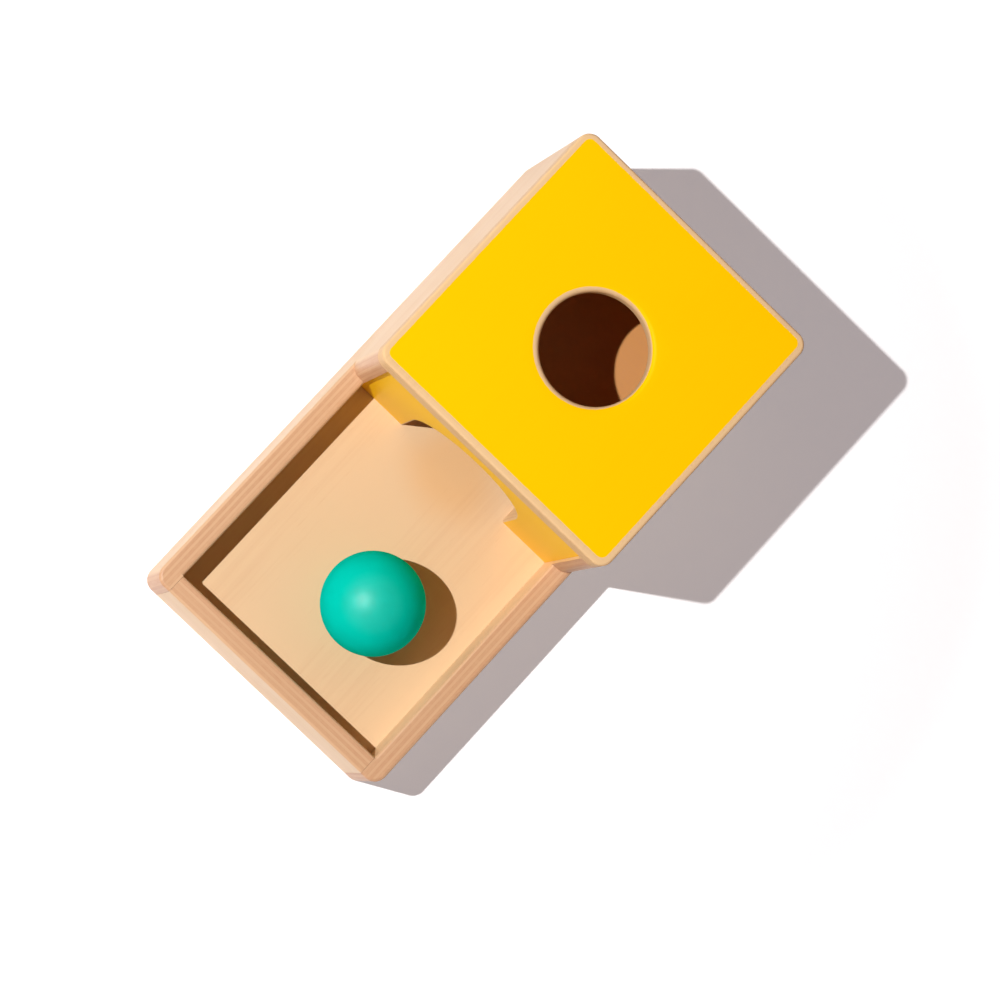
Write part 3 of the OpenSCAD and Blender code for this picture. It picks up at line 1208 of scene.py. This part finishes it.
def light_room(scene, studio):
    """One small lamp in a dim warm room, with a pale card that stands low at the right and in front.

    Seen rays meet a backdrop instead, which is white up to about 27 degrees and dim overhead.
    """
    lamp = bpy.data.lights.new("lamp", "POINT")
    lamp.energy = studio.lamp_power
    lamp.shadow_soft_size = studio.lamp_radius
    holder = bpy.data.objects.new("lamp", lamp)
    holder.location = studio.lamp_place
    scene.collection.objects.link(holder)

    world = bpy.data.worlds.new("room")
    world.use_nodes = True
    world.node_tree.nodes.clear()
    scene.world = world
    net = Wiring(world.node_tree)
    direction = net.node("ShaderNodeTexCoord").outputs["Generated"]
    height = net.parts(direction)[2]
    white_below = 0.45
    dim_above = 0.8
    overhead = 0.1
    level = net.span(height, white_below, dim_above, 1.0, overhead, "SMOOTHSTEP")
    backdrop = net.even(level)

    card_way = (0.8, -0.6, 0.0)
    towards_card = net.step(net.measure("DOT_PRODUCT", direction, card_way), 0.3, 0.75)
    card = net.times(towards_card, net.fade(height, 0.3, 0.6))
    room = net.mix(card, (*studio.fill, 1), (*studio.card, 1))
    color = net.mix(seen_rays(net), room, backdrop)
    background = net.node("ShaderNodeBackground", {"Color": color, "Strength": 1.0})
    net.node("ShaderNodeOutputWorld", {"Surface": background.outputs[0]})


def place_camera(scene, studio):
    """The camera stands at an azimuth, an elevation and a distance from its target, and is rolled."""
    around_sin, around_cos = math.sin(studio.azimuth), math.cos(studio.azimuth)
    rise_sin, rise_cos = math.sin(studio.elevation), math.cos(studio.elevation)
    roll_sin, roll_cos = math.sin(studio.roll), math.cos(studio.roll)
    back = Vector((rise_cos * around_sin, -rise_cos * around_cos, rise_sin))
    up = Vector((-rise_sin * around_sin, rise_sin * around_cos, rise_cos))
    right = up.cross(back)
    rolled_right = right * roll_cos + up * roll_sin
    rolled_up = up * roll_cos - right * roll_sin

    data = bpy.data.cameras.new("camera")
    data.sensor_width = 36
    data.lens = studio.lens
    data.clip_start = 0.05
    data.clip_end = 50
    camera = bpy.data.objects.new("camera", data)
    turn = Matrix((rolled_right, rolled_up, back)).transposed().to_4x4()
    place = Vector(studio.target) + back * studio.distance
    camera.matrix_world = Matrix.Translation(place) @ turn
    scene.collection.objects.link(camera)
    scene.camera = camera
    scene.view_settings.view_transform = "Standard"


# Panel and registration

OPERATORS = (
    BALL_BOX_OT_side_boards, BALL_BOX_OT_tray, BALL_BOX_OT_back_panel, BALL_BOX_OT_front_panel,
    BALL_BOX_OT_top_panel, BALL_BOX_OT_ramp, BALL_BOX_OT_dowels, BALL_BOX_OT_ball,
    BALL_BOX_OT_stage,
)
SETTINGS = {
    "box_wood": WoodSettings,
    "box_paint": PaintSettings,
    "box_edges": EdgeSettings,
    "box_ball": BallSettings,
    "box_studio": StudioSettings,
}


class BALL_BOX_PT_sidebar(Panel):
    """Lists the pieces of the ball drop box and their settings"""

    bl_idname = "BALL_BOX_PT_sidebar"
    bl_label = "Ball drop box"
    bl_space_type = "VIEW_3D"
    bl_region_type = "UI"
    bl_category = "Ball drop box"

    def draw(self, context):
        for operator in OPERATORS:
            self.layout.operator(operator.bl_idname)
        for name, kind in SETTINGS.items():
            settings = getattr(context.scene, name)
            for key in kind.__annotations__:
                self.layout.prop(settings, key)


CLASSES = (*SETTINGS.values(), *OPERATORS, BALL_BOX_PT_sidebar)


def register():
    """Registers the settings, the operators and the panel."""
    for kind in CLASSES:
        bpy.utils.register_class(kind)
    for name, kind in SETTINGS.items():
        setattr(bpy.types.Scene, name, PointerProperty(type=kind))


def unregister():
    """Takes them away again, in reverse."""
    for name in SETTINGS:
        delattr(bpy.types.Scene, name)
    for kind in reversed(CLASSES):
        bpy.utils.unregister_class(kind)


def main():
    """Makes every piece and the stage."""
    register()
    bpy.ops.ball_box.side_boards()
    bpy.ops.ball_box.tray()
    bpy.ops.ball_box.back_panel()
    bpy.ops.ball_box.front_panel()
    bpy.ops.ball_box.top_panel()
    bpy.ops.ball_box.ramp()
    bpy.ops.ball_box.dowels()
    bpy.ops.ball_box.ball()
    bpy.ops.ball_box.stage()


if __name__ == "__main__":
    main()
